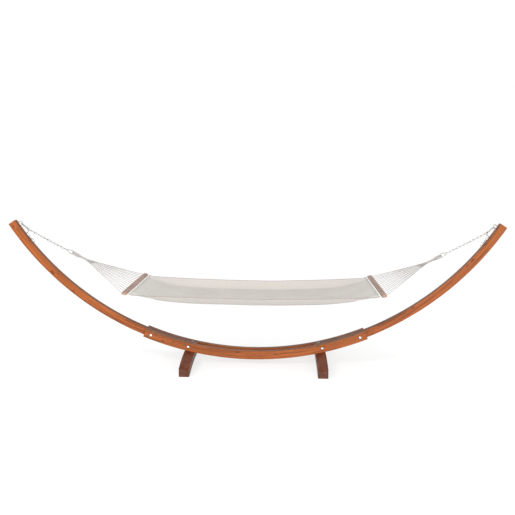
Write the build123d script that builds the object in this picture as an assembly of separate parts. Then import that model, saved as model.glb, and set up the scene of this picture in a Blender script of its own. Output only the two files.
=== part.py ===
from build123d import *
import os
from math import atan2, cos, degrees, radians, sin, sqrt

# Arc stand hammock. Millimetres. X runs along the hammock, Y across it, Z up.
# The origin is on the floor under the middle of the stand.

# ---------------------------------------------------------------- driving dimensions
# stand
overall_length = 4100.0      # tip to tip over the convex corners of the two arms
arc_radius = 2454.0          # convex face of the arms
arm_depth = 62.0             # laminated arm, measured towards the arc's centre
arm_width = 62.0             # across the hammock
arc_height = 43.0            # floor to the arms' convex face, if it reached the middle
arm_inner_angle = 11.7       # where an arm ends between the rails, from straight down
rail_half_angle = 22.3       # where the rails end
rail_thickness = 50.0
rail_proud_outside = 4.0     # rail beyond the arm's convex face
rail_proud_inside = 2.0      # rail beyond the arm's concave face
edge_round = 3.0             # eased long edges of the timber

# feet
foot_angle = 12.8            # foot's middle, and its bolt, from straight down
foot_span = 1000.0           # across the hammock
foot_width = 80.0
foot_end_height = 58.0
foot_flat = 60.0             # length of the part of each end that lies on the floor
foot_arch = 36.0             # rise of the underside in the middle
foot_seat = 168.0            # level length of the top under the rails
foot_end_round = 2.0
nut_pocket_top = 44.0        # pocket for the foot bolt's nut, below the rails
nut_pocket_play = 2.0        # around the washer

# fasteners
rail_bolt_angles = (13.3, 21.0)
bolt_radius = 5.0
bolt_hole_radius = 5.5
washer_radius = 13.0
washer_thickness = 1.6
dome_radius = 11.0
dome_height = 5.0
nut_flats = 17.0
nut_height = 8.0
thread_play = 0.1            # between a nut and its bolt
bolt_overhang = 3.0          # bolt past its nut
concave_seat = 0.05          # a flat washer stands this far off the middle of a concave face
eye_angle = 55.6             # eye bolt, from straight down
eye_offset = 20.5            # ring's centre from the arm's concave face
eye_inner_radius = 11.0
eye_wire = 3.5               # wire radius
eye_shank = 4.0
eye_hole_play = 0.4

# suspension, from the eye bolt inwards
snap_wire = 3.5              # wire radius of the snap hook
snap_length = 73.0           # apex to apex along the wire's centre line
snap_half_width = 10.5       # centre line to centre line, halved
snap_slope = 39.0            # degrees below level
snap_play = 0.6              # between the snap hook and the eye
gate_far = 20.0              # where the gate meets the nose, from the top apex
gate_pivot = 54.0            # hinge pin of the gate, from the top apex
gate_radius = 3.0
gate_tongue_half = 1.5       # half thickness of the gate's tongue
gate_slot_half = 1.6         # half width of the slot that it turns in
gate_slot_length = 14.0
gate_shoulder = 4.6          # round part of the gate stops this far from the pin
pin_radius = 1.0
swing_drop = 9.0             # axis that the hammock swings about, below the eyes' centres
link_wire = 2.0
link_count = 12
link_inner_length = 31.3
link_half_width = 6.0        # centre line
chain_slope_top = 29.5
chain_slope_end = 26.8
ring_wire = 3.0
ring_length = 50.0
ring_half_base = 18.0
ring_corner = 5.0
ring_taper = 69.0            # base to where the two sides would meet
play = 0.3                   # gap left where one wire bears on another

# clew and bars
bar_x = 1003.0
bar_z = 658.0
bar_length = 1020.0
bar_width = 38.0
bar_height = 20.0
bar_tilt = 12.0
cord_count = 14
cord_pitch = 74.0
cord_radius = 2.0
cord_hole_radius = 3.4
cord_bend = 12.0             # where a cord turns into its hole
bundle_slope = 27.0
bundle_length = 100.0
bundle_start = (13.0, 22.0)  # across the hammock, and in the plane of the arc
bundle_end = (30.0, 9.5)
bundle_corner = 4.0
bundle_collar = 8.0          # straight part past the ring's base
bundle_wrap = 6.5            # cords beyond the ring's middle line
whipping_length = 20.0
whipping_section = (33.0, 12.0)
strand_pitch = 4.4

# bed
bed_gap = 20.0               # cord showing between bar and cloth
bed_half_width = 495.0
bed_draw_in = 12.0           # the sides come in by this much in the middle
bed_edge_sag = 31.0
bed_belly_sag = 90.0
bed_belly_power = 5.0        # how flat the trough is across
bed_end_power = 6.0          # how soon the trough opens out at the bars
bed_thickness = 3.0
bed_sections = (-1, -0.95, -0.86, -0.72, -0.5, -0.2, 0.2, 0.5, 0.72, 0.86, 0.95, 1)

# surplus chain
tail_links = 4
tail_place = 13.5            # along the chain's first link
tail_play = 0.5
tail_lean = (38.0, 38.0, 39.0)    # links after the first, from straight down towards the middle

# ---------------------------------------------------------------- worked out
arc_centre_z = arc_height + arc_radius
arm_inside = arc_radius - arm_depth
tip_angle = degrees(atan2(overall_length / 2, sqrt(arc_radius**2 - (overall_length / 2) ** 2)))
rail_inside = arm_inside - rail_proud_inside
rail_outside = arc_radius + rail_proud_outside
rail_middle = (rail_inside + rail_outside) / 2
rail_outer_y = arm_width / 2 + rail_thickness
beyond = 20.0                # cutters run past a face by this much
across = Vector(0, 1, 0)
nodes = {}


def on_arc(radius, angle, y=0.0):
    """Point on the stand's arc, angle in degrees from straight down, positive to +X."""
    a = radians(angle)
    return Vector(radius * sin(a), y, arc_centre_z - radius * cos(a))


def outward(angle):
    a = radians(angle)
    return Vector(sin(a), 0, -cos(a))


def heading(side, slope):
    """Direction from the arm of that side towards the middle, slope degrees below level."""
    a = radians(slope)
    return Vector(-side * cos(a), 0, -sin(a))


def rod(start, end, radius):
    """Round bar between two points."""
    run = end - start
    base = Plane(origin=start, z_dir=run)
    return base * Cylinder(radius, run.length, align=(Align.CENTER, Align.CENTER, Align.MIN))


def arc_band(inner, outer, start, end, y_low, y_high):
    """Curved timber of rectangular section between two angles."""
    middle = (start + end) / 2

    def flat(radius, angle):
        point = on_arc(radius, angle)
        return (point.X, point.Z)

    outline = [
        ThreePointArc(flat(inner, start), flat(inner, middle), flat(inner, end)),
        Line(flat(inner, end), flat(outer, end)),
        ThreePointArc(flat(outer, end), flat(outer, middle), flat(outer, start)),
        Line(flat(outer, start), flat(inner, start)),
    ]
    profile = Plane.XZ * make_face(outline)
    timber = extrude(profile, amount=(y_high - y_low) / 2, both=True)
    timber = Pos(0, (y_low + y_high) / 2, 0) * timber
    return fillet(timber.edges().filter_by(GeomType.CIRCLE), edge_round)


def washer(centre, axis, inner):
    """Flat washer lying against a face at centre, axis pointing away from that face."""
    outer = rod(centre, centre + axis * washer_thickness, washer_radius)
    return outer - rod(centre - axis, centre + axis * (washer_thickness + 1), inner)


def hex_nut(centre, axis, bore):
    body = Plane(origin=centre, z_dir=axis) * extrude(
        RegularPolygon(nut_flats / 2, 6, major_radius=False), nut_height
    )
    return body - rod(centre - axis, centre + axis * (nut_height + 1), bore)


def dome_bolt(seat, axis, length):
    """Dome-headed bolt; seat is under the head and axis points from the head to the tip."""
    sphere_radius = (dome_radius**2 + dome_height**2) / (2 * dome_height)
    sphere = Plane(origin=seat + axis * (sphere_radius - dome_height), z_dir=axis) * Sphere(sphere_radius)
    cap = sphere & rod(seat, seat - axis * dome_height, dome_radius + 1)
    return cap + rod(seat, seat + axis * length, bolt_radius)


def oval(origin, along, normal, length, half_width, wire):
    """Closed oval of round wire. origin is the near apex and length is apex to apex."""
    straight = length / 2 - half_width
    path = Wire([
        Line((-straight, half_width), (straight, half_width)),
        ThreePointArc((straight, half_width), (straight + half_width, 0), (straight, -half_width)),
        Line((straight, -half_width), (-straight, -half_width)),
        ThreePointArc((-straight, -half_width), (-straight - half_width, 0), (-straight, half_width)),
    ])
    section = Plane(origin=(0, half_width, 0), z_dir=(1, 0, 0)) * Circle(wire)
    loop = sweep(section, path)
    return Plane(origin=origin + along * (length / 2), x_dir=along, z_dir=normal) * loop


def group(solids):
    return Compound(children=list(solids))


def cross_hole(angle):
    """Bolt hole across both rails and the arm between them."""
    reach = rail_outer_y + beyond
    return rod(on_arc(rail_middle, angle, -reach), on_arc(rail_middle, angle, reach), bolt_hole_radius)


# ---------------------------------------------------------------- stand
def make_arm(side):
    low, high = sorted((side * arm_inner_angle, side * tip_angle))
    arm = arc_band(arm_inside, arc_radius, low, high, -arm_width / 2, arm_width / 2)
    for angle in rail_bolt_angles:
        arm -= cross_hole(side * angle)
    for angle, radius in ((foot_angle, bolt_hole_radius), (eye_angle, eye_shank + eye_hole_play)):
        below = on_arc(arc_radius + beyond, side * angle)
        arm -= rod(on_arc(arm_inside - beyond, side * angle), below, radius)
    return arm


def make_rail(side):
    low, high = sorted((side * arm_width / 2, side * rail_outer_y))
    rail = arc_band(rail_inside, rail_outside, -rail_half_angle, rail_half_angle, low, high)
    for end in (-1, 1):
        for angle in rail_bolt_angles:
            rail -= cross_hole(end * angle)
    return rail


def make_foot(side):
    """Arched beam across the stand: level underside, top pitched to sit flat on the rails."""
    seat = on_arc(rail_outside, side * foot_angle)
    half = foot_span / 2
    block = seat.Z + beyond
    outline = [
        Line((-half, 0), (-half, block)),
        Line((-half, block), (half, block)),
        Line((half, block), (half, 0)),
        Line((half, 0), (half - foot_flat, 0)),
        ThreePointArc((half - foot_flat, 0), (0, foot_arch), (foot_flat - half, 0)),
        Line((foot_flat - half, 0), (-half, 0)),
    ]
    beam = Pos(seat.X, 0, 0) * extrude(Plane.YZ * make_face(outline), amount=foot_width / 2, both=True)
    drop = seat.Z - foot_end_height
    rest = foot_seat / 2
    bulge = (half + rest) / 2
    quarter = -drop * ((bulge - rest) / (half - rest)) ** 2
    clear = half + beyond
    above = [
        Line((-rest, 0), (rest, 0)),
        ThreePointArc((rest, 0), (bulge, quarter), (half, -drop)),
        Line((half, -drop), (clear, -drop)),
        Line((clear, -drop), (clear, block)),
        Line((clear, block), (-clear, block)),
        Line((-clear, block), (-clear, -drop)),
        Line((-clear, -drop), (-half, -drop)),
        ThreePointArc((-half, -drop), (-bulge, quarter), (-rest, 0)),
    ]
    waste = extrude(Plane.YZ * make_face(above), amount=foot_width, both=True)
    foot = beam - Pos(seat.X, 0, seat.Z) * Rot(0, -side * foot_angle, 0) * waste
    down = outward(side * foot_angle)
    pocket = foot_nut_seat(side)
    foot -= rod(seat - down * beyond, pocket + down * beyond, bolt_hole_radius)
    foot -= rod(pocket, pocket + down * (seat.Z - nut_pocket_top + beyond), washer_radius + nut_pocket_play)
    uprights = foot.edges().filter_by(Axis.Z).sort_by(Axis.Y)
    return fillet(uprights[:2] + uprights[-2:], foot_end_round)


def foot_nut_seat(side):
    """Bottom of the pocket for the nut, measured along the foot bolt."""
    return on_arc(rail_outside + nut_pocket_top, side * foot_angle)


def make_fasteners():
    rail_bolts, rail_washers, rail_nuts = [], [], []
    for side in (-1, 1):
        for angle in rail_bolt_angles:
            front = on_arc(rail_middle, side * angle, -rail_outer_y)
            back = on_arc(rail_middle, side * angle, rail_outer_y)
            rail_washers.append(washer(front, -across, bolt_hole_radius))
            rail_washers.append(washer(back, across, bolt_hole_radius))
            head = front - across * washer_thickness
            length = 2 * rail_outer_y + 2 * washer_thickness + nut_height + bolt_overhang
            rail_bolts.append(dome_bolt(head, across, length))
            rail_nuts.append(hex_nut(back + across * washer_thickness, across, bolt_radius + thread_play))
    nodes["rail_bolts"] = group(rail_bolts)
    nodes["rail_washers"] = group(rail_washers)
    nodes["rail_nuts"] = group(rail_nuts)

    foot_bolts, foot_washers, foot_nuts = [], [], []
    for side in (-1, 1):
        down = outward(side * foot_angle)
        top = on_arc(arm_inside - concave_seat, side * foot_angle)
        bottom = foot_nut_seat(side)
        foot_washers.append(washer(top, -down, bolt_hole_radius))
        foot_washers.append(washer(bottom, down, bolt_hole_radius))
        length = (bottom - top).length + 2 * washer_thickness + nut_height + bolt_overhang
        foot_bolts.append(dome_bolt(top - down * washer_thickness, down, length))
        foot_nuts.append(hex_nut(bottom + down * washer_thickness, down, bolt_radius + thread_play))
    nodes["foot_bolts"] = group(foot_bolts)
    nodes["foot_washers"] = group(foot_washers)
    nodes["foot_nuts"] = group(foot_nuts)


def make_eye_bolts():
    washers, nuts = [], []
    for side, name in ((-1, "left"), (1, "right")):
        out = outward(side * eye_angle)
        centre = on_arc(arm_inside - eye_offset, side * eye_angle)
        ring = Plane(origin=centre, z_dir=across) * Torus(eye_inner_radius + eye_wire, eye_wire)
        neck = centre + out * (eye_inner_radius + eye_wire)
        tip = on_arc(arc_radius + washer_thickness + nut_height + bolt_overhang, side * eye_angle)
        nodes["eye_bolt_" + name] = ring + rod(neck, tip, eye_shank)
        hole = eye_shank + eye_hole_play
        washers.append(washer(on_arc(arm_inside - concave_seat, side * eye_angle), -out, hole))
        washers.append(washer(on_arc(arc_radius, side * eye_angle), out, hole))
        nut_seat = on_arc(arc_radius + washer_thickness, side * eye_angle)
        nuts.append(hex_nut(nut_seat, out, eye_shank + thread_play))
    nodes["eye_washers"] = group(washers)
    nodes["eye_nuts"] = group(nuts)


# ---------------------------------------------------------------- suspension
def snap_start(side):
    """Apex of the snap hook's wire inside the eye."""
    centre = on_arc(arm_inside - eye_offset, side * eye_angle)
    return centre + heading(side, snap_slope) * (eye_inner_radius - snap_wire - snap_play)


def snap_end(side):
    return snap_start(side) + heading(side, snap_slope) * snap_length


def make_snap_hook(side, name):
    """Snap hook in the plane of its own length and Y, with a hinged gate on one side."""
    along = heading(side, snap_slope)
    gate_side = across * -side
    frame = Plane(origin=snap_start(side), x_dir=along, z_dir=along.cross(gate_side))
    half = snap_half_width
    path = Wire([
        Line((gate_far, half), (half, half)),
        ThreePointArc((half, half), (0, 0), (half, -half)),
        Line((half, -half), (snap_length - half, -half)),
        ThreePointArc((snap_length - half, -half), (snap_length, 0), (snap_length - half, half)),
        Line((snap_length - half, half), (gate_pivot - snap_wire, half)),
    ])
    body = sweep(Plane(origin=(gate_far, half, 0), z_dir=(-1, 0, 0)) * Circle(snap_wire), path)
    pivot = Vector(gate_pivot, half, 0)
    deep = Vector(0, 0, snap_wire)
    slot = Pos(gate_pivot - 1, half, 0) * Box(gate_slot_length, 2 * snap_wire + 2, 2 * gate_slot_half)
    body = body - slot - rod(pivot - deep * 2, pivot + deep * 2, pin_radius)
    shoulder = gate_pivot - gate_shoulder
    gate = rod(Vector(gate_far + play, half, 0), Vector(shoulder, half, 0), gate_radius)
    tongue_length = gate_shoulder + 1.4
    tongue_middle = gate_pivot - tongue_length / 2
    tongue = Pos(tongue_middle, half, 0) * Box(tongue_length, 2 * gate_radius - 0.6, 2 * gate_tongue_half)
    thick = Vector(0, 0, gate_tongue_half)
    knuckle = rod(pivot - thick, pivot + thick, gate_radius - 0.3)
    gate = gate + tongue + knuckle - rod(pivot - deep, pivot + deep, pin_radius + 0.05)
    pin = rod(pivot - deep, pivot + deep, pin_radius)
    nodes["snap_hook_" + name] = frame * body
    nodes["snap_gate_" + name] = frame * gate
    nodes["snap_pin_" + name] = frame * pin
    print("gate pivot", name, frame.from_local_coords(pivot), "axis", frame.z_dir)


def make_chain(side):
    """Oval links, alternately upright and flat, ending where the clew ring hangs."""
    length = link_inner_length + 2 * link_wire
    start = snap_end(side) - heading(side, chain_slope_top) * (snap_wire + link_wire + play)
    links = []
    for index in range(link_count):
        slope = chain_slope_top + (chain_slope_end - chain_slope_top) * index / (link_count - 1)
        along = heading(side, slope)
        upright = index % 2 == 0
        normal = across if upright else along.cross(across)
        links.append(oval(start, along, normal, length, link_half_width, link_wire))
        start = start + along * (length - 2 * link_wire - play)
    last = heading(side, chain_slope_end)
    return group(links), start + last * (2 * link_wire + play)


def make_ring(last_wire, side):
    """Rounded triangle of wire hung from the last link, its base upright in the plane of the arc."""
    along = heading(side, chain_slope_end)
    apex = last_wire - along * (link_wire + ring_wire + play)
    frame = Plane(origin=apex, x_dir=along, z_dir=across)
    slant = atan2(ring_half_base, ring_taper)
    tip = ring_corner * (1 / sin(slant) - 1)
    corners = [(ring_length, ring_half_base), (-tip, 0), (ring_length, -ring_half_base)]
    path = FilletPolyline(*corners, radius=ring_corner, close=True)
    wire = sweep(Plane(origin=path @ 0, z_dir=path % 0) * Circle(ring_wire), path)
    return frame * wire, apex + along * ring_length


def make_tail(side):
    """Surplus links hung from the lower side of the chain's first link and lying along the arm."""
    along = heading(side, chain_slope_top)
    down = Vector(side * sin(radians(chain_slope_top)), 0, -cos(radians(chain_slope_top)))
    first = snap_end(side) - along * (snap_wire + link_wire + play)
    pivot = first + along * tail_place + down * link_half_width
    start = pivot - down * (2 * link_wire + tail_play)
    length = link_inner_length + 2 * link_wire
    headings = [down] + [heading(side, 90 - lean) for lean in tail_lean]
    links = []
    for index in range(tail_links):
        run = headings[index]
        normal = run.cross(across) if index % 2 == 0 else across
        links.append(oval(start, run, normal, length, link_half_width, link_wire))
        following = headings[min(index + 1, tail_links - 1)]
        start = start + run * (length - link_wire) - following * (link_wire + play)
    print("tail pivot", side, pivot)
    return group(links)


# ---------------------------------------------------------------- clew, bars and bed
def make_bundle(base, side):
    """Gathered cords from the ring's base to the whipping, as one tapering solid."""
    along = heading(side, bundle_slope)
    frame = Plane(origin=base, x_dir=across, z_dir=along)
    wide = RectangleRounded(*bundle_start, bundle_corner)
    narrow = RectangleRounded(*bundle_end, bundle_corner)
    block = Pos(0, 0, -bundle_wrap) * extrude(wide, bundle_collar + bundle_wrap)
    taper = loft([Pos(0, 0, bundle_collar) * wide, Pos(0, 0, bundle_length) * narrow])
    bundle = frame * (block + taper)
    upright = heading(side, chain_slope_end).cross(across)
    bundle -= rod(base - upright * 30, base + upright * 30, ring_wire + 0.2)
    wrap = RectangleRounded(*whipping_section, bundle_corner)
    whipping = Pos(0, 0, bundle_length) * extrude(wrap, whipping_length)
    neck = Plane(origin=base + along * (bundle_length + whipping_length), x_dir=across, z_dir=along)
    return bundle, frame * whipping, neck


def cord_y(index):
    return (index - (cord_count - 1) / 2) * cord_pitch


def bar_axis(side):
    return heading(side, bar_tilt)


def make_bar(side):
    inwards = bar_axis(side)
    frame = Plane(origin=(side * bar_x, 0, bar_z), x_dir=inwards, z_dir=inwards.cross(across))
    bar = Box(bar_width, bar_length, bar_height)
    bar = fillet(bar.edges().filter_by(Axis.Y), 4)
    bar = fillet(bar.edges().group_by(Axis.Y)[0] + bar.edges().group_by(Axis.Y)[-1], 2.5)
    sense = 1 if frame.y_dir.Y > 0 else -1
    for index in range(cord_count):
        y = sense * cord_y(index)
        bar -= rod(Vector(-bar_width, y, 0), Vector(bar_width, y, 0), cord_hole_radius)
    return frame * bar


def bed_end(side):
    return Vector(side * bar_x, 0, bar_z) + bar_axis(side) * (bar_width / 2 + bed_gap)


def make_cords(neck, side):
    """Cords fanned from the whipping through the bar to the end of the bed."""
    cords = []
    for index in range(cord_count):
        column = index // 2 - (cord_count // 2 - 1) / 2
        row = index % 2 - 0.5
        start = neck.origin + neck.z_dir * cord_radius
        start = start + across * (column * strand_pitch) + neck.y_dir * (row * strand_pitch)
        y = across * cord_y(index)
        mouth = Vector(side * bar_x, 0, bar_z) - bar_axis(side) * (bar_width / 2 + 8) + y
        end = bed_end(side) - bar_axis(side) * 1.0 + y
        path = FilletPolyline(start, mouth, end, radius=cord_bend)
        cords.append(sweep(Plane(origin=path @ 0, z_dir=path % 0) * Circle(cord_radius), path))
    return group(cords)


def bed_height(u, v):
    """Height of the cloth: u runs -1 to 1 between the bars, v across."""
    edges = bed_edge_sag * (1 - u * u)
    belly = bed_belly_sag * (1 - abs(u) ** bed_end_power) * (1 - abs(v) ** bed_belly_power)
    return bed_end(1).Z - edges - belly


def make_bed():
    sections = []
    for u in bed_sections:
        x = u * bed_end(1).X
        half = bed_half_width - bed_draw_in * (1 - u * u)
        stations = (-1, -0.86, -0.66, -0.38, 0, 0.38, 0.66, 0.86, 1)
        top = [Vector(x, half * v, bed_height(u, v)) for v in stations]
        under = [point - Vector(0, 0, bed_thickness) for point in reversed(top)]
        outline = [Spline(*top), Line(top[-1], under[0]), Spline(*under), Line(under[-1], top[0])]
        sections.append(make_face(outline))
    return loft(sections)


# ---------------------------------------------------------------- build
nodes["arm_left"] = make_arm(-1)
nodes["arm_right"] = make_arm(1)
nodes["rail_front"] = make_rail(-1)
nodes["rail_back"] = make_rail(1)
nodes["foot_left"] = make_foot(-1)
nodes["foot_right"] = make_foot(1)
make_fasteners()
make_eye_bolts()
for side, name in ((-1, "left"), (1, "right")):
    make_snap_hook(side, name)
    nodes["chain_" + name], last_wire = make_chain(side)
    nodes["clew_ring_" + name], base = make_ring(last_wire, side)
    bundle, whipping, neck = make_bundle(base, side)
    nodes["clew_bundle_" + name] = bundle
    nodes["clew_whipping_" + name] = whipping
    nodes["clew_cords_" + name] = make_cords(neck, side)
    nodes["spreader_bar_" + name] = make_bar(side)
    nodes["spare_chain_" + name] = make_tail(side)
    print(name, "ring base", base, "neck", neck.origin)
nodes["bed"] = make_bed()
print("swing axis height", on_arc(arm_inside - eye_offset, eye_angle).Z - swing_drop)

os.makedirs("parts", exist_ok=True)
for name, shape in nodes.items():
    export_step(shape, "parts/" + name + ".step")
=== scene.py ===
import bpy
from math import ceil, cos, exp, pi, radians, sin
from mathutils import Matrix, Vector, noise


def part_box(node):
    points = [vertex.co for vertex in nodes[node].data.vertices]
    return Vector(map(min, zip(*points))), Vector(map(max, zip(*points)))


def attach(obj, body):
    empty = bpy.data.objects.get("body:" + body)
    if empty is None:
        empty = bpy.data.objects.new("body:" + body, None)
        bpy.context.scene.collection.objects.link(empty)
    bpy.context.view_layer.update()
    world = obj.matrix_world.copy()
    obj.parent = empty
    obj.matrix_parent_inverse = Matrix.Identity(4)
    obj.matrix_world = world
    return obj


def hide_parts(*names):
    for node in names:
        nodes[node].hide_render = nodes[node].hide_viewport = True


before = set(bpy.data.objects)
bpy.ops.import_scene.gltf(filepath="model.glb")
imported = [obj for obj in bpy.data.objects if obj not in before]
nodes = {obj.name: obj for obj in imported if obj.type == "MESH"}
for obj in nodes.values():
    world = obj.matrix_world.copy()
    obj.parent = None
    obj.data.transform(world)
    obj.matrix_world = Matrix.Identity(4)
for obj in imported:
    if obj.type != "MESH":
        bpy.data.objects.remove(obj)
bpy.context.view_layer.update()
bpy.context.scene.view_settings.view_transform = "Standard"


# camera, floor and light

view = {
    "place": (0.1855, -6.5162, 1.709),
    "turn": -0.0263,      # to the right, radians
    "tip": -0.1258,       # up, radians
    "roll": 0.0055,
    "lens": 1.5385,       # focal length over the picture's width
    "sensor": 36.0,
    "farthest": 80,
}
studio = {
    "floorSize": 60.0,
    "floorShade": 0.28,
    "floorDrop": 0.0005,
    "floorRoughness": 0.9,
    "floorSpecular": 0.1,
    "floorGlow": 0.70,        # keeps the shadows as pale as a light table's
    "sky": 1.0,
    "aim": (0, 0, 0.5),
    "keyPlace": (-3.6, -4.6, 5.2),
    "keySize": 1.5,
    "keyPower": 210.0,
    "fillPlace": (0.6, -8.0, 1.9),
    "fillSize": 5.0,
    "fillPower": 640.0,
}


def makeCamera():
    camData = bpy.data.cameras.new("camera")
    cam = bpy.data.objects.new("camera", camData)
    bpy.context.scene.collection.objects.link(cam)
    yaw, pitch, roll = view["turn"], view["tip"], view["roll"]
    ahead = Vector((sin(yaw) * cos(pitch), cos(yaw) * cos(pitch), sin(pitch)))
    right = Vector((cos(yaw), -sin(yaw), 0))
    up = right.cross(ahead)
    rolledRight = right * cos(roll) + up * sin(roll)
    rolledUp = up * cos(roll) - right * sin(roll)
    turn = Matrix((rolledRight, rolledUp, -ahead)).transposed()
    cam.matrix_world = Matrix.Translation(view["place"]) @ turn.to_4x4()
    camData.sensor_width = view["sensor"]
    camData.lens = view["lens"] * view["sensor"]
    camData.clip_end = view["farthest"]
    camData.dof.use_dof = False
    bpy.context.scene.camera = cam


def makeLight(name, place, size, power):
    bpy.ops.object.light_add(type="AREA", location=place)
    light = bpy.context.object
    light.name = name
    light.data.shape = "DISK"
    light.data.size = size
    light.data.energy = power
    aim = Vector(studio["aim"]) - Vector(place)
    light.rotation_euler = aim.to_track_quat("-Z", "Y").to_euler()


def makeStudio():
    world = bpy.data.worlds.new("studio")
    bpy.context.scene.world = world
    world.use_nodes = True
    sky = world.node_tree.nodes["Background"]
    sky.inputs["Color"].default_value = (1, 1, 1, 1)
    sky.inputs["Strength"].default_value = studio["sky"]
    makeLight("key", studio["keyPlace"], studio["keySize"], studio["keyPower"])
    makeLight("fill", studio["fillPlace"], studio["fillSize"], studio["fillPower"])
    bpy.ops.mesh.primitive_plane_add(size=studio["floorSize"], location=(0, 0, -studio["floorDrop"]))
    floor = bpy.context.object
    floor.name = "floor"
    floorPaint = bpy.data.materials.new("floorPaint")
    floorPaint.use_nodes = True
    shader = floorPaint.node_tree.nodes["Principled BSDF"]
    shade = studio["floorShade"]
    shader.inputs["Base Color"].default_value = (shade, shade, shade, 1)
    shader.inputs["Roughness"].default_value = studio["floorRoughness"]
    shader.inputs["Specular IOR Level"].default_value = studio["floorSpecular"]
    shader.inputs["Emission Color"].default_value = (1, 1, 1, 1)
    shader.inputs["Emission Strength"].default_value = studio["floorGlow"]
    floor.data.materials.append(floorPaint)


bpy.ops.object.select_all(action="DESELECT")
makeCamera()
makeStudio()
print("camera and studio set")


# shader helpers

def addNode(tree, kind, values=None, **settings):
    node = tree.nodes.new(kind)
    for key, value in settings.items():
        setattr(node, key, value)
    for socket, value in (values or {}).items():
        if isinstance(value, bpy.types.NodeSocket):
            tree.links.new(value, node.inputs[socket])
        else:
            node.inputs[socket].default_value = value
    return node


def doMath(tree, operation, first, second=0.0, clamp=False):
    node = addNode(tree, "ShaderNodeMath", {0: first, 1: second}, operation=operation, use_clamp=clamp)
    return node.outputs[0]


def mixColour(tree, factor, first, second, blend="MIX"):
    values = {0: factor, 6: first, 7: second}
    return addNode(tree, "ShaderNodeMix", values, data_type="RGBA", blend_type=blend).outputs[2]


# smooth step of value from low to high
def ramp(tree, value, low, high):
    return addNode(tree, "ShaderNodeMapRange", {0: value, 1: low, 2: high, 3: 0.0, 4: 1.0},
                   interpolation_type="SMOOTHSTEP").outputs[0]


def opaque(colour):
    return (*colour, 1)


def stretch(tree, place, scale):
    return addNode(tree, "ShaderNodeMapping", {"Vector": place, "Scale": scale}).outputs[0]


def makeNoise(tree, place, scale, detail, **rest):
    values = {"Vector": place, "Scale": scale, "Detail": detail, **rest}
    return addNode(tree, "ShaderNodeTexNoise", values).outputs["Fac"]


# a random value that is always the same for the same number
def pickRandom(tree, number):
    return addNode(tree, "ShaderNodeTexWhiteNoise", {"W": number}, noise_dimensions="1D").outputs["Value"]


def raiseSurface(tree, shader, height, strength, distance):
    bump = addNode(tree, "ShaderNodeBump", {"Height": height, "Strength": strength, "Distance": distance})
    tree.links.new(bump.outputs[0], shader.inputs["Normal"])


def newGroup(name, inputs, outputs):
    tree = bpy.data.node_groups.new(name, "ShaderNodeTree")
    for label, kind, value in inputs:
        socket = tree.interface.new_socket(label, in_out="INPUT", socket_type=kind)
        if value is not None:
            socket.default_value = value
    for label, kind in outputs:
        tree.interface.new_socket(label, in_out="OUTPUT", socket_type=kind)
    return tree, tree.nodes.new("NodeGroupInput").outputs, tree.nodes.new("NodeGroupOutput").inputs


def useGroup(tree, group, values):
    node = addNode(tree, "ShaderNodeGroup", node_tree=group)
    for socket, value in values.items():
        if isinstance(value, bpy.types.NodeSocket):
            tree.links.new(value, node.inputs[socket])
        else:
            node.inputs[socket].default_value = value
    return node.outputs


def newMaterial(name):
    material = bpy.data.materials.new(name)
    material.use_nodes = True
    tree = material.node_tree
    return material, tree, tree.nodes["Principled BSDF"]


# timber

timber = {
    "arcCentre": 2.497,       # height of the arc's centre
    "arcFace": 2.454,         # radius of the convex face
    "layer": 0.0155,          # one lamination
    "footLayer": 0.02,
    "barLayer": 0.2,          # thicker than a bar, so it shows no lamination
    "coat": 0.02,
    "coatRoughness": 0.4,
    "specular": 0.22,
    "boardsPerMetre": 1.35,
    "figure": (1.6, 34, 34),  # stretches of the noise: along, across, depth
    "fine": (9, 420, 420),
    "streak": (5, 95, 95),
    "blotch": (3.5, 9, 9),
    "knotCells": (17, 40, 40),
    "arcKnots": 1.6,
    "footKnots": 0.7,
    "barKnots": 0.25,
    "footContrast": 0.6,
    "grime": (0.02, 0.008, 0.004),
    "grainStrength": 0.5,
    "grainDepth": 0.0008,
    # faces turned up this far get painted skylight
    "lookingUp": (0.45, 0.85),
    # painted skylight on upward faces: lighter on the feet, greyer and bluer on the arms and rails, none on
    # the bars
    "footSkylight": (1.55, 1.25, 0.95),
    "arcSkylight": (0.86, 1.05, 1.45),
    "barSkylight": (1, 1, 1),
    "larch": ((0.115, 0.026, 0.004), (0.250, 0.062, 0.009), (0.30, 0.082, 0.014)),
    # the feet's colours are made darker than the arms' to paint in the shade the feet stand in
    "foot": ((0.040, 0.011, 0.004), (0.078, 0.022, 0.008), (0.110, 0.034, 0.015)),
    "bar": ((0.18, 0.102, 0.072), (0.260, 0.163, 0.122), (0.31, 0.213, 0.165)),
}


# position in a bent timber: along the bend, across it, and from its convex face inwards
def makeArcRun():
    tree, given, out = newGroup("arcRun", [("Centre Height", "NodeSocketFloat", timber["arcCentre"]),
                                           ("Face Radius", "NodeSocketFloat", timber["arcFace"])],
                                [("Vector", "NodeSocketVector")])
    place = addNode(tree, "ShaderNodeTexCoord").outputs["Object"]
    axes = addNode(tree, "ShaderNodeSeparateXYZ", {0: place}).outputs
    below = doMath(tree, "SUBTRACT", given["Centre Height"], axes[2])
    angle = doMath(tree, "ARCTAN2", axes[0], below)
    along = doMath(tree, "MULTIPLY", angle, given["Face Radius"])
    reach = doMath(tree, "SQRT", doMath(tree, "ADD", doMath(tree, "MULTIPLY", axes[0], axes[0]),
                                        doMath(tree, "MULTIPLY", below, below)))
    depth = doMath(tree, "SUBTRACT", given["Face Radius"], reach)
    run = addNode(tree, "ShaderNodeCombineXYZ", {0: along, 1: axes[1], 2: depth})
    tree.links.new(run.outputs[0], out["Vector"])
    return tree


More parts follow.
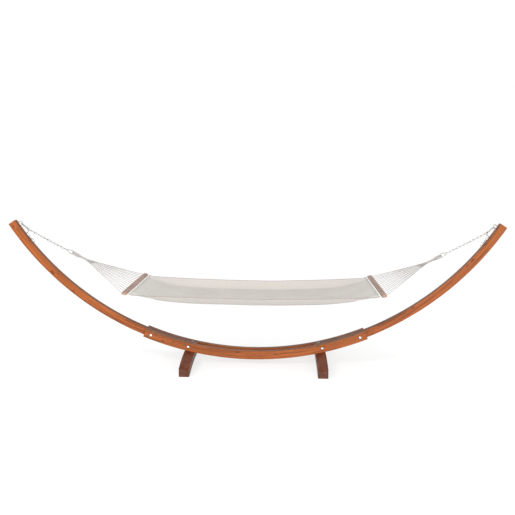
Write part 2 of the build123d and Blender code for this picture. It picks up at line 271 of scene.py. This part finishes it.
# grain, laminations, knots and checks of stained softwood; Vector is along, across and depth in metres
def makeTimberGrain():
    tree, given, out = newGroup(
        "timberGrain",
        [("Vector", "NodeSocketVector", None), ("Dark", "NodeSocketColor", None),
         ("Middle", "NodeSocketColor", None), ("Light", "NodeSocketColor", None),
         ("Layer", "NodeSocketFloat", timber["layer"]), ("Knots", "NodeSocketFloat", 1.0),
         ("Layer Contrast", "NodeSocketFloat", 1.0)],
        [("Color", "NodeSocketColor"), ("Roughness", "NodeSocketFloat"), ("Height", "NodeSocketFloat")])
    axes = addNode(tree, "ShaderNodeSeparateXYZ", {0: given["Vector"]}).outputs
    layerPlace = doMath(tree, "DIVIDE", axes[2], given["Layer"])
    layer = doMath(tree, "FLOOR", layerPlace)
    layerTone = pickRandom(tree, layer)
    boardRun = doMath(tree, "MULTIPLY", axes[0], timber["boardsPerMetre"])
    board = doMath(tree, "FLOOR", doMath(tree, "ADD", boardRun, doMath(tree, "MULTIPLY", layerTone, 7.0)))
    layerSeed = doMath(tree, "MULTIPLY", layer, 11.3)
    boardTone = pickRandom(tree, doMath(tree, "ADD", doMath(tree, "MULTIPLY", board, 3.7), layerSeed))
    shift = addNode(tree, "ShaderNodeCombineXYZ", {0: doMath(tree, "MULTIPLY", boardTone, 9.0),
                                                   1: doMath(tree, "MULTIPLY", boardTone, 3.0), 2: boardTone})
    place = addNode(tree, "ShaderNodeVectorMath", {0: given["Vector"], 1: shift.outputs[0]},
                    operation="ADD").outputs[0]
    figurePlace = stretch(tree, place, timber["figure"])
    figure = makeNoise(tree, figurePlace, 1.0, 5.0, Roughness=0.62, Distortion=0.5)
    fine = makeNoise(tree, stretch(tree, place, timber["fine"]), 1.0, 3.0, Roughness=0.6)
    streak = makeNoise(tree, stretch(tree, place, timber["streak"]), 1.0, 4.0, Roughness=0.7)
    blotch = makeNoise(tree, stretch(tree, place, timber["blotch"]), 1.0, 3.0, Roughness=0.55)
    knotPlace = stretch(tree, place, timber["knotCells"])
    knotCell = addNode(tree, "ShaderNodeTexVoronoi", {"Vector": knotPlace, "Scale": 1.0, "Randomness": 1.0})
    knotPick = addNode(tree, "ShaderNodeSeparateColor", {0: knotCell.outputs["Color"]}).outputs
    knotSize = doMath(tree, "MULTIPLY", ramp(tree, knotPick[0], 0.74, 1.0), 0.36)
    knotReach = doMath(tree, "DIVIDE", knotCell.outputs["Distance"], doMath(tree, "ADD", knotSize, 0.001))
    knot = doMath(tree, "SUBTRACT", 1.0, ramp(tree, knotReach, 0.6, 1.25))
    knot = doMath(tree, "MULTIPLY", knot, given["Knots"], True)
    check = doMath(tree, "MULTIPLY", ramp(tree, streak, 0.64, 0.74), given["Knots"], True)

    tone = doMath(tree, "ADD", doMath(tree, "MULTIPLY", figure, 1.5), doMath(tree, "MULTIPLY", fine, 0.5))
    tone = doMath(tree, "SUBTRACT", tone, 0.55, True)
    colour = mixColour(tree, ramp(tree, tone, 0.1, 0.55), given["Dark"], given["Middle"])
    colour = mixColour(tree, ramp(tree, tone, 0.42, 0.95), colour, given["Light"])
    layerShade = doMath(tree, "MULTIPLY", doMath(tree, "SUBTRACT", boardTone, 0.5), 0.20)
    layerShade = doMath(tree, "MULTIPLY", layerShade, given["Layer Contrast"])
    blotchShade = doMath(tree, "MULTIPLY", doMath(tree, "SUBTRACT", blotch, 0.5), 0.45)
    bright = doMath(tree, "ADD", doMath(tree, "ADD", layerShade, blotchShade), 1.0)
    grey = addNode(tree, "ShaderNodeCombineXYZ", {0: bright, 1: bright, 2: bright}).outputs[0]
    colour = mixColour(tree, 1.0, colour, grey, "MULTIPLY")
    edge = doMath(tree, "PINGPONG", layerPlace, 0.5)
    glue = doMath(tree, "SUBTRACT", 1.0, ramp(tree, edge, 0.012, 0.05))
    glue = doMath(tree, "MULTIPLY", glue, doMath(tree, "MULTIPLY", given["Layer Contrast"], 0.45), True)
    dark = mixColour(tree, 0.6, given["Dark"], opaque(timber["grime"]))
    colour = mixColour(tree, doMath(tree, "MULTIPLY", check, 0.75), colour, dark)
    colour = mixColour(tree, doMath(tree, "MULTIPLY", knot, 0.85), colour, dark)
    colour = mixColour(tree, glue, colour, dark)
    tree.links.new(colour, out["Color"])
    rough = doMath(tree, "ADD", doMath(tree, "MULTIPLY", fine, 0.25), 0.36)
    tree.links.new(doMath(tree, "ADD", rough, doMath(tree, "MULTIPLY", check, 0.2)), out["Roughness"])
    height = doMath(tree, "MULTIPLY", fine, 0.5)
    height = doMath(tree, "SUBTRACT", height, doMath(tree, "MULTIPLY", check, 0.8))
    height = doMath(tree, "SUBTRACT", height, doMath(tree, "MULTIPLY", glue, 0.9))
    tree.links.new(doMath(tree, "ADD", height, doMath(tree, "MULTIPLY", figure, 0.4)), out["Height"])
    return tree


arcRun = makeArcRun()
timberGrain = makeTimberGrain()


# colour, gloss and grain; faces that look up get painted skylight, a tint that makes them lighter or greyer
def finishTimber(tree, shader, run, colours, knots, layerContrast, layer, skylitTint):
    dark, middle, light = colours
    grain = useGroup(tree, timberGrain, {"Vector": run, "Dark": opaque(dark), "Middle": opaque(middle),
                                         "Light": opaque(light), "Knots": knots, "Layer": layer,
                                         "Layer Contrast": layerContrast})
    facing = addNode(tree, "ShaderNodeNewGeometry").outputs["True Normal"]
    upward = ramp(tree, addNode(tree, "ShaderNodeSeparateXYZ", {0: facing}).outputs[2], *timber["lookingUp"])
    # painted skylight: the upward faces' colour is tinted as if lit from above
    skylitColour = mixColour(tree, 1.0, grain["Color"], opaque(skylitTint), "MULTIPLY")
    tree.links.new(mixColour(tree, upward, grain["Color"], skylitColour), shader.inputs["Base Color"])
    tree.links.new(grain["Roughness"], shader.inputs["Roughness"])
    raiseSurface(tree, shader, grain["Height"], timber["grainStrength"], timber["grainDepth"])
    shader.inputs["Specular IOR Level"].default_value = timber["specular"]
    shader.inputs["Coat Weight"].default_value = timber["coat"]
    shader.inputs["Coat Roughness"].default_value = timber["coatRoughness"]


def makeArcTimber(name, colours, knots):
    material, tree, shader = newMaterial(name)
    run = useGroup(tree, arcRun, {})["Vector"]
    finishTimber(tree, shader, run, colours, knots, 1.0, timber["layer"], timber["arcSkylight"])
    return material


# timber whose grain runs across the hammock
def makeCrossTimber(name, colours, knots, layerContrast, layer, skylitTint):
    material, tree, shader = newMaterial(name)
    place = addNode(tree, "ShaderNodeTexCoord").outputs["Object"]
    axes = addNode(tree, "ShaderNodeSeparateXYZ", {0: place}).outputs
    run = addNode(tree, "ShaderNodeCombineXYZ", {0: axes[1], 1: axes[0], 2: axes[2]}).outputs[0]
    finishTimber(tree, shader, run, colours, knots, layerContrast, layer, skylitTint)
    return material


def paint(names, material):
    for name in names:
        mesh = nodes[name].data
        mesh.materials.clear()
        mesh.materials.append(material)


larch = makeArcTimber("larch", timber["larch"], timber["arcKnots"])
paint(["arm_left", "arm_right", "rail_front", "rail_back"], larch)
# the feet's timber, darkened with painted shade
shadedFootTimber = makeCrossTimber("shadedFootTimber", timber["foot"], timber["footKnots"], timber["footContrast"],
                             timber["footLayer"], timber["footSkylight"])
paint(["foot_left", "foot_right"], shadedFootTimber)
barTimber = makeCrossTimber("barTimber", timber["bar"], timber["barKnots"], 0.0,
                            timber["barLayer"], timber["barSkylight"])
paint(["spreader_bar_left", "spreader_bar_right"], barTimber)
print("timber painted")


# metal

metal = {
    "chain": ((0.40, 0.39, 0.375), (0.17, 0.155, 0.14)),
    # bolts and nuts: a bright copy of the zinc that paints in the white highlight on the domed heads
    "bolt": ((0.72, 0.71, 0.69), (0.50, 0.48, 0.45)),
    # washers: a dark copy of the zinc that paints in the shadow ring round each bolt head
    "washer": ((0.10, 0.085, 0.075), (0.05, 0.035, 0.028)),
    "roughness": 0.28,
    "spangle": 190.0,
    "scratch": 1300.0,
}


def makeZinc(name, colours):
    bright, dim = colours
    material, tree, shader = newMaterial(name)
    place = addNode(tree, "ShaderNodeTexCoord").outputs["Object"]
    spangle = makeNoise(tree, place, metal["spangle"], 4.0)
    scratch = makeNoise(tree, place, metal["scratch"], 2.0)
    dull = ramp(tree, spangle, 0.42, 0.75)
    tree.links.new(mixColour(tree, dull, opaque(bright), opaque(dim)), shader.inputs["Base Color"])
    rough = doMath(tree, "ADD", doMath(tree, "MULTIPLY", dull, 0.25), metal["roughness"])
    rough = doMath(tree, "ADD", rough, doMath(tree, "MULTIPLY", scratch, 0.08))
    tree.links.new(rough, shader.inputs["Roughness"])
    shader.inputs["Metallic"].default_value = 1.0
    raiseSurface(tree, shader, scratch, 0.25, 0.0002)
    return material


endParts = ("eye_bolt_", "snap_hook_", "snap_gate_", "snap_pin_", "chain_", "clew_ring_", "spare_chain_")
zinc = makeZinc("zinc", metal["chain"])
for end in ("left", "right"):
    paint([part + end for part in endParts], zinc)
# painted highlight: bright zinc on the bolts and nuts
highlightZinc = makeZinc("highlightZinc", metal["bolt"])
paint(["rail_bolts", "foot_bolts", "rail_nuts", "foot_nuts", "eye_nuts"], highlightZinc)
# painted shadow: dark zinc on the washers round the bolt heads
shadowRingZinc = makeZinc("shadowRingZinc", metal["washer"])
paint(["rail_washers", "foot_washers", "eye_washers"], shadowRingZinc)
print("metal painted")


# where the hammock's parts are

bedLow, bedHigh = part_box("bed")
bed = {
    "cellsAlong": 208,
    "cellsAcross": 108,
    "frontSag": 0.027,
    "backSag": 0.034,
    "bellySag": 0.088,
    "power": 5.0,             # how flat the trough is across
    "endPower": 6.0,          # how soon the trough opens out at the bars
    "lift": 0.004,            # raised by this first, since hanging brings it down
    "drawIn": 0.012,          # the sides come in by this at mid length
    "scallop": 0.011,         # the end hem falls back by this between cords
    "scallopReach": 0.04,
    "gather": 0.006,
    "gatherReach": 0.10,
    "gatherStart": 0.012,
    "crease": 0.0035,
    "creases": ((1.4, 9.0, 3.1), (3.0, 3.5, 7.7)),   # how close along, how close across, and a seed
    "cloth": 0.0012,
    "hem": 0.0030,            # thickness of the turned-over sides
    "hemWidth": 0.026,
    "roll": 0.0034,           # radius of the piping along the sides
    "sleeve": 0.0042,         # radius of the end hems
    "rollStep": 0.008,
    "sleeveStep": 0.005,
    "rollPoints": 10,         # points round the piping
    "sleevePoints": 12,
    "smooth": 50,
    "steps": 22,
    "drift": 0.006,           # the furthest that hanging may move a point
}
clew = {
    "cords": 14,
    "pitch": 0.074,
    "cord": 0.0024,           # radius
    "lay": 0.016,             # one turn of the cord's twist
    "slope": 27.0,
    "bundle": 0.100,
    "whipping": 0.020,
    "column": 0.0040,         # between cords in the neck
    "row": 0.0020,
    "loopPitch": 0.0040,      # between loops on the ring
    "loopReach": 0.0055,      # from the ring's wire to a cord
    "neckWidth": 0.0155,
    "neckDepth": 0.0055,
    "wrap": 0.0013,           # radius of the whipping twine
    "turns": 7,
    "barWidth": 0.038,
    "barTilt": 12.0,
    "step": 0.003,
    "legSteps": 24,
    "pastNeck": 0.003,        # the cords run on straight this far beyond the whipping
    "barMouth": 0.008,        # and come in straight from this far before the bar
    "tuckStart": 0.01,
    "tuckSteps": 10,
    "tuckTurn": 30,
    "tuckDrift": 0.00045,
    "bightSteps": 8,
    "ease": 3,
    "cordPoints": 12,
    "twinePoints": 8,
    "strands": 3,
    "strandDepth": 0.24,
    "smooth": 60,
    "wrapSteps": 36,          # points in one turn of the twine
    "wrapSquareness": 0.7,
}
hanging = {
    "quality": 6,
    "mass": 0.2,
    "tension_stiffness": 60,
    "compression_stiffness": 30,
    "shear_stiffness": 10,
    "bending_stiffness": 0.6,
    "tension_damping": 12,
    "compression_damping": 12,
    "air_damping": 3,
    "vertex_group_mass": "held",
}
halfSpan, halfWidth = bedHigh.x, bedHigh.y
across = Vector((0, 1, 0))


def middleOf(name):
    low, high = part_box(name)
    return (low + high) / 2


# from that side's arm towards the middle, slope degrees below level
def inward(side, slope):
    return Vector((-side * cos(radians(slope)), 0, -sin(radians(slope))))


def cordPlace(index):
    return (index - (clew["cords"] - 1) / 2) * clew["pitch"]


# the bed, a sheet of canvas hung by simulation

# point of the cloth before it hangs, u along and v across, both from -1 to 1
def bedPoint(u, v):
    hang = 1 - u * u
    y = v * (halfWidth - bed["drawIn"] * hang)
    edges = bed["frontSag"] + (bed["backSag"] - bed["frontSag"]) * (1 + v) / 2 - bed["lift"]
    belly = bed["bellySag"] * (1 - abs(u) ** bed["endPower"]) * (1 - abs(v) ** bed["power"])
    z = bedHigh.z - hang * edges - belly
    beat = abs(sin(pi * y / clew["pitch"]))            # 1 at a cord, 0 between two
    reach = (1 - abs(u)) * halfSpan
    fade = exp(-reach / bed["gatherReach"])
    x = u * halfSpan
    x -= (1 if u > 0 else -1) * bed["scallop"] * (1 - beat) ** 1.5 * exp(-reach / bed["scallopReach"])
    z += bed["gather"] * (beat - 0.6) * fade * (1 - exp(-reach / bed["gatherStart"]))
    for closeAlong, closeAcross, seed in bed["creases"]:
        z += bed["crease"] * noise.noise(Vector((x * closeAlong, y * closeAcross, seed))) * hang
    return Vector((x, y, z))


def selectOnly(piece):
    bpy.ops.object.select_all(action="DESELECT")
    piece.select_set(True)
    bpy.context.view_layer.objects.active = piece


def applyModifier(piece, name):
    selectOnly(piece)
    bpy.ops.object.modifier_apply(modifier=name)


def makeSheet():
    bpy.ops.object.select_all(action="DESELECT")
    cellsAlong, cellsAcross = bed["cellsAlong"], bed["cellsAcross"]
    bpy.ops.mesh.primitive_grid_add(x_subdivisions=cellsAlong, y_subdivisions=cellsAcross, size=2)
    sheet = bpy.context.object
    sheet.name = "bedCanvas"
    held = sheet.vertex_groups.new(name="held")
    doubled = sheet.vertex_groups.new(name="doubled")
    for vertex in sheet.data.vertices:
        u, v = vertex.co.x, vertex.co.y
        if abs(u) > 0.9999:                            # the two end rows
            held.add([vertex.index], 1.0, "REPLACE")
        fromSide = (1 - abs(v)) * halfWidth
        fromEnd = (1 - abs(u)) * halfSpan
        if min(fromSide, fromEnd) < bed["hemWidth"]:
            doubled.add([vertex.index], 1.0, "REPLACE")
        vertex.co = bedPoint(u, v)
    return sheet


def hangSheet(sheet):
    start = [vertex.co.copy() for vertex in sheet.data.vertices]
    cloth = sheet.modifiers.new("cloth", "CLOTH")
    for setting, value in hanging.items():
        setattr(cloth.settings, setting, value)
    cloth.collision_settings.use_collision = False
    cloth.collision_settings.use_self_collision = False
    cloth.point_cache.frame_start = 1
    cloth.point_cache.frame_end = bed["steps"]
    for step in range(1, bed["steps"] + 1):
        bpy.context.scene.frame_set(step)
    applyModifier(sheet, "cloth")
    furthest = 0
    for vertex, before in zip(sheet.data.vertices, start):
        move = vertex.co - before
        furthest = max(furthest, move.length)
        if move.length > bed["drift"]:
            vertex.co = before + move * (bed["drift"] / move.length)
    bpy.context.scene.frame_set(1)
    print("cloth hung, furthest move", round(furthest, 4))


# the sheet's four edges as lists of points
def edgeRuns(sheet):
    columns, rows = bed["cellsAlong"] + 1, bed["cellsAcross"] + 1
    points = [vertex.co.copy() for vertex in sheet.data.vertices]
    front = points[:columns]
    back = points[-columns:]
    leftEnd = [points[row * columns] for row in range(rows)]
    rightEnd = [points[row * columns + columns - 1] for row in range(rows)]
    return front, back, leftEnd, rightEnd


def thicken(sheet):
    solid = sheet.modifiers.new("thickness", "SOLIDIFY")
    solid.thickness = bed["hem"]
    solid.offset = 0
    solid.vertex_group = "doubled"
    solid.thickness_vertex_group = bed["cloth"] / bed["hem"]
    solid.use_even_offset = True
    applyModifier(sheet, "thickness")
    sheet.vertex_groups.clear()
    bpy.ops.object.shade_smooth_by_angle(angle=radians(bed["smooth"]))


# cords

# closed outline swept along a cord: lobes strands laid round it, with hollows depth of the radius deep
def makeProfile(radius, lobes, depth, points):
    outline = bpy.data.curves.new("profile", "CURVE")
    outline.dimensions = "2D"
    ring = outline.splines.new("POLY")
    ring.points.add(points - 1)
    for index, point in enumerate(ring.points):
        angle = 2 * pi * index / points
        reach = radius
        if lobes:
            reach *= 1 - depth * (1 - abs(cos(angle * lobes / 2)))
        point.co = (reach * cos(angle), reach * sin(angle), 0, 1)
    ring.use_cyclic_u = True
    profile = bpy.data.objects.new("profile", outline)
    bpy.context.scene.collection.objects.link(profile)
    return profile


# the same line through points an even step apart
def evenRun(points, step):
    lengths = [0.0]
    for before, after in zip(points, points[1:]):
        lengths.append(lengths[-1] + (after - before).length)
    count = max(2, ceil(lengths[-1] / step))
    even, place = [], 0
    for index in range(count + 1):
        target = lengths[-1] * index / count
        while place < len(points) - 2 and lengths[place + 1] < target:
            place += 1
        gap = lengths[place + 1] - lengths[place]
        share = (target - lengths[place]) / gap if gap > 0 else 0
        even.append(points[place].lerp(points[place + 1], min(share, 1)))
    return even


# rounds a line's corners by averaging each point with its neighbours, fewer near the ends
def easeRun(points, reach):
    eased = []
    for index in range(len(points)):
        span = min(reach, index, len(points) - 1 - index)
        near = points[index - span:index + span + 1]
        eased.append(sum(near, Vector((0, 0, 0))) / len(near))
    return eased


# one mesh swept along several lines, turning once every lay metres
def sweepRuns(name, runs, profile, lay):
    line = bpy.data.curves.new(name, "CURVE")
    line.dimensions = "3D"
    line.bevel_mode = "OBJECT"
    line.bevel_object = profile
    line.use_fill_caps = True
    for run in runs:
        spline = line.splines.new("POLY")
        spline.points.add(len(run) - 1)
        gone = 0.0
        for index, point in enumerate(run):
            if index:
                gone += (point - run[index - 1]).length
            spline.points[index].co = (*point, 1)
            spline.points[index].tilt = 2 * pi * gone / lay if lay else 0.0
    swept = bpy.data.objects.new(name, line)
    bpy.context.scene.collection.objects.link(swept)
    selectOnly(swept)
    bpy.ops.object.convert(target="MESH")
    swept = bpy.context.object
    bpy.ops.object.mode_set(mode="EDIT")
    bpy.ops.mesh.select_all(action="SELECT")
    bpy.ops.mesh.normals_make_consistent(inside=False)
    bpy.ops.mesh.select_all(action="DESELECT")
    bpy.ops.object.mode_set(mode="OBJECT")
    bpy.ops.object.shade_smooth_by_angle(angle=radians(clew["smooth"]))
    return swept


# where one leg of a loop is, share of the way from the ring to the neck; the bundle makes a quarter turn
def bundlePlace(base, side, loop, leg, share):
    along = inward(side, clew["slope"])
    upright = along.cross(across) * -side
    settle = share * share * (3 - 2 * share)
    turn = settle * pi / 2
    wide = clew["loopReach"] + (clew["row"] - clew["loopReach"]) * settle
    pitch = clew["loopPitch"] + (clew["column"] - clew["loopPitch"]) * settle
    aside = leg * wide * cos(turn) + loop * pitch * sin(turn)
    above = loop * pitch * cos(turn) - leg * wide * sin(turn)
    return base + along * (share * clew["bundle"]) + across * aside + upright * above


# a cord from the bed through the bar and the whipping, round the ring and back to the bed beside itself
def loopRun(side, number):
    along = inward(side, clew["slope"])
    base = middleOf("clew_whipping_" + sideName[side]) - along * (clew["bundle"] + clew["whipping"] / 2)
    bar = middleOf("spreader_bar_" + sideName[side])
    barAlong = inward(side, clew["barTilt"])
    loop = number - (clew["cords"] / 2 - 1) / 2
    legs = []
    for leg, index in ((-1, 2 * number), (1, 2 * number + 1)):
        shares = [step / clew["legSteps"] for step in range(clew["legSteps"] + 1)]
        toBundle = [bundlePlace(base, side, loop, leg, share) for share in shares]
        neckEnd = toBundle[-1] + along * (clew["whipping"] + clew["pastNeck"])
        sideways = across * cordPlace(index)
        mouth = bar + sideways - barAlong * (clew["barWidth"] / 2 + clew["barMouth"])
        hem = Vector((side * halfSpan, cordPlace(index), bedHigh.z))
        barUp = barAlong.cross(across) * -side
        around = bed["sleeve"] + clew["cord"]
        tuck = [hem + barUp * around - barAlong * clew["tuckStart"]]
        for step in range(clew["tuckSteps"] + 1):
            angle = radians(clew["tuckTurn"] * step)
            drift = across * (leg * clew["tuckDrift"] * step)
            tuck.append(hem + barAlong * (around * sin(angle)) + barUp * (around * cos(angle)) + drift)
        legs.append([*toBundle, neckEnd, mouth, bar + sideways, *tuck])
    first, second = legs
    middle = (first[0] + second[0]) / 2
    bight = []
    reach = clew["loopReach"]
    for step in range(1, clew["bightSteps"]):
        angle = pi * step / clew["bightSteps"]
        bight.append(middle - across * (reach * cos(angle)) - along * (reach * sin(angle)))
    whole = [*reversed(first), *bight, *second]
    return easeRun(evenRun(whole, clew["step"]), clew["ease"])


def whippingRun(side):
    along = inward(side, clew["slope"])
    upright = along.cross(across)
    middle = middleOf("clew_whipping_" + sideName[side])
    steps = clew["turns"] * clew["wrapSteps"]
    square = clew["wrapSquareness"]
    run = []
    for step in range(steps + 1):
        angle = 2 * pi * step / clew["wrapSteps"]
        wide = clew["neckWidth"] * abs(cos(angle)) ** square * (1 if cos(angle) > 0 else -1)
        deep = clew["neckDepth"] * abs(sin(angle)) ** square * (1 if sin(angle) > 0 else -1)
        gone = (step / steps - 0.5) * (clew["whipping"] - 2 * clew["wrap"])
        run.append(middle + along * gone + across * wide + upright * deep)
    return run


sideName = {-1: "left", 1: "right"}
bedSheet = makeSheet()
hangSheet(bedSheet)
front, back, leftEnd, rightEnd = edgeRuns(bedSheet)
thicken(bedSheet)
rollProfile = makeProfile(bed["roll"], 0, 0, bed["rollPoints"])
sleeveProfile = makeProfile(bed["sleeve"], 0, 0, bed["sleevePoints"])
sideRoll = sweepRuns("bedPiping", [evenRun(edge, bed["rollStep"]) for edge in (front, back)], rollProfile, 0)
endRuns = [evenRun(edge, bed["sleeveStep"]) for edge in (leftEnd, rightEnd)]
endSleeve = sweepRuns("bedEndHems", endRuns, sleeveProfile, 0)
print("bed made")

cordProfile = makeProfile(clew["cord"], clew["strands"], clew["strandDepth"], clew["cordPoints"])
twineProfile = makeProfile(clew["wrap"], 0, 0, clew["twinePoints"])
ropes, wraps = [], []
for side in (-1, 1):
    runs = [loopRun(side, number) for number in range(clew["cords"] // 2)]
    ropes.append(sweepRuns("clewCords" + sideName[side].title(), runs, cordProfile, clew["lay"]))
    wraps.append(sweepRuns("clewWhipping" + sideName[side].title(), [whippingRun(side)], twineProfile, 0))
for profile in (rollProfile, sleeveProfile, cordProfile, twineProfile):
    bpy.data.objects.remove(profile, do_unlink=True)
print("cords made")


# canvas and cord

fabric = {
    "canvas": ((0.325, 0.300, 0.275), (0.425, 0.400, 0.368)),
    # the piping's colours are made darker to paint in the shadow line along the hem
    "shadedPiping": ((0.23, 0.20, 0.178), (0.31, 0.275, 0.248)),
    # a lighter band along the front and back, painted light where the trough's side walls face the lamps
    "litWall": (0.50, 0.468, 0.438),
    "litWallWidth": 0.10,
    "litWallFade": 0.012,
    "seamInset": 0.004,       # from the hem's inner edge to its row of stitches
    "stitchesPerMetre": 250.0,
    "flatSlack": 0.02,        # the cloth's own length over the straight span
    "cord": ((0.27, 0.25, 0.232), (0.40, 0.375, 0.352)),
    "thread": 1100.0,         # threads per metre
    "slub": (30, 900, 1),
    "crossSlub": (900, 30, 1),
    "pipingFibre": 1500.0,
    "cordFibre": 2200.0,
    "blotch": 40.0,
    "canvasRoughness": 0.88,
    "canvasSpecular": 0.25,
    "canvasSheen": 0.25,
    "sheenRoughness": 0.5,
    "yarnRoughness": 0.9,
    "yarnSpecular": 0.2,
    "yarnSheen": 0.2,
}


# plain weave; Vector is in metres, in the cloth's own plane
def makeWeave():
    tree, given, out = newGroup(
        "plainWeave",
        [("Vector", "NodeSocketVector", None), ("Threads", "NodeSocketFloat", fabric["thread"])],
        [("Thread", "NodeSocketFloat"), ("Tone", "NodeSocketFloat")])
    axes = addNode(tree, "ShaderNodeSeparateXYZ", {0: given["Vector"]}).outputs
    warp = doMath(tree, "MULTIPLY", axes[1], given["Threads"])
    weft = doMath(tree, "MULTIPLY", axes[0], given["Threads"])
    warpRound = doMath(tree, "PINGPONG", warp, 0.5)
    weftRound = doMath(tree, "PINGPONG", weft, 0.5)
    cell = doMath(tree, "ADD", doMath(tree, "FLOOR", warp), doMath(tree, "FLOOR", weft))
    over = doMath(tree, "ABSOLUTE", doMath(tree, "MODULO", cell, 2.0))
    height = addNode(tree, "ShaderNodeMix", {0: over, 2: warpRound, 3: weftRound}, data_type="FLOAT")
    tree.links.new(doMath(tree, "MULTIPLY", height.outputs[0], 2.0), out["Thread"])
    slub = makeNoise(tree, stretch(tree, given["Vector"], fabric["slub"]), 1.0, 2.0)
    cross = makeNoise(tree, stretch(tree, given["Vector"], fabric["crossSlub"]), 1.0, 2.0)
    tree.links.new(doMath(tree, "MULTIPLY", doMath(tree, "ADD", slub, cross), 0.5), out["Tone"])
    return tree


plainWeave = makeWeave()


def makeCanvas():
    material, tree, shader = newMaterial("canvas")
    flat = addNode(tree, "ShaderNodeUVMap", uv_map="UVMap").outputs[0]
    place = stretch(tree, flat, (2 * halfSpan, 2 * halfWidth, 1))
    axes = addNode(tree, "ShaderNodeSeparateXYZ", {0: place}).outputs
    weave = useGroup(tree, plainWeave, {"Vector": place})
    fromSide = doMath(tree, "PINGPONG", axes[1], halfWidth)
    fromEnd = doMath(tree, "PINGPONG", axes[0], halfSpan)
    nearest = doMath(tree, "MINIMUM", fromSide, fromEnd)
    seam = doMath(tree, "ABSOLUTE", doMath(tree, "SUBTRACT", nearest, bed["hemWidth"] - fabric["seamInset"]))
    seamLine = doMath(tree, "SUBTRACT", 1.0, ramp(tree, seam, 0.0006, 0.0018))
    alongSeam = doMath(tree, "MULTIPLY", doMath(tree, "ADD", axes[0], axes[1]), fabric["stitchesPerMetre"])
    gone = doMath(tree, "PINGPONG", alongSeam, 0.5)
    stitch = doMath(tree, "MULTIPLY", seamLine, ramp(tree, gone, 0.06, 0.2))
    stain = doMath(tree, "MULTIPLY", makeNoise(tree, place, 5.0, 5.0), 0.4)
    low, high = fabric["canvas"]
    tone = doMath(tree, "ADD", doMath(tree, "MULTIPLY", weave["Tone"], 0.75), stain)
    colour = mixColour(tree, ramp(tree, tone, 0.30, 0.80), opaque(low), opaque(high))
    # painted light: a lighter band along the sides, where the side walls face the lamps
    litWallEdge, litWallFade = fabric["litWallWidth"], fabric["litWallFade"]
    litWall = ramp(tree, fromSide, litWallEdge + litWallFade, litWallEdge - litWallFade)
    colour = mixColour(tree, doMath(tree, "MULTIPLY", litWall, 0.7), colour, opaque(fabric["litWall"]))
    # painted shade in the hollows between the threads
    shade = doMath(tree, "MULTIPLY", doMath(tree, "SUBTRACT", 1.0, weave["Thread"]), 0.22)
    colour = mixColour(tree, shade, colour, opaque(fabric["shadedPiping"][1]))
    # painted shade along the seam's groove, which the bump also sinks
    colour = mixColour(tree, doMath(tree, "MULTIPLY", seamLine, 0.35), colour, opaque(fabric["shadedPiping"][0]))
    colour = mixColour(tree, doMath(tree, "MULTIPLY", stitch, 0.8), colour, opaque(high))
    tree.links.new(colour, shader.inputs["Base Color"])
    shader.inputs["Roughness"].default_value = fabric["canvasRoughness"]
    shader.inputs["Specular IOR Level"].default_value = fabric["canvasSpecular"]
    shader.inputs["Sheen Weight"].default_value = fabric["canvasSheen"]
    shader.inputs["Sheen Roughness"].default_value = fabric["sheenRoughness"]
    height = doMath(tree, "ADD", weave["Thread"], doMath(tree, "MULTIPLY", stitch, 1.5))
    height = doMath(tree, "SUBTRACT", height, doMath(tree, "MULTIPLY", seamLine, 1.2))
    raiseSurface(tree, shader, height, 0.6, 0.0004)
    return material


# spun yarn: fibres and slow changes of tone
def makeYarn(name, colours, grain):
    material, tree, shader = newMaterial(name)
    place = addNode(tree, "ShaderNodeTexCoord").outputs["Object"]
    fibre = makeNoise(tree, place, grain, 3.0)
    blotch = makeNoise(tree, place, fabric["blotch"], 2.0)
    tone = doMath(tree, "ADD", doMath(tree, "MULTIPLY", fibre, 0.7), doMath(tree, "MULTIPLY", blotch, 0.3))
    low, high = colours
    colour = mixColour(tree, ramp(tree, tone, 0.3, 0.68), opaque(low), opaque(high))
    tree.links.new(colour, shader.inputs["Base Color"])
    shader.inputs["Roughness"].default_value = fabric["yarnRoughness"]
    shader.inputs["Specular IOR Level"].default_value = fabric["yarnSpecular"]
    shader.inputs["Sheen Weight"].default_value = fabric["yarnSheen"]
    raiseSurface(tree, shader, fibre, 0.5, 0.0003)
    return material


def dress(piece, material, replaced):
    piece.data.materials.clear()
    piece.data.materials.append(material)
    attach(piece, "hammock")
    if replaced:
        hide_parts(*replaced)


dress(bedSheet, makeCanvas(), ["bed"])
# piping in its darker colours, painted shade along the hem
pipingYarn = makeYarn("shadedPiping", fabric["shadedPiping"], fabric["pipingFibre"])
dress(sideRoll, pipingYarn, [])
dress(endSleeve, makeYarn("endHem", fabric["canvas"], fabric["pipingFibre"]), [])
cordYarn = makeYarn("cord", fabric["cord"], fabric["cordFibre"])
for side, rope, wrap in zip((-1, 1), ropes, wraps):
    name = sideName[side]
    dress(rope, cordYarn, ["clew_cords_" + name, "clew_bundle_" + name])
    dress(wrap, cordYarn, ["clew_whipping_" + name])
print("fabric painted")


print("scene built")
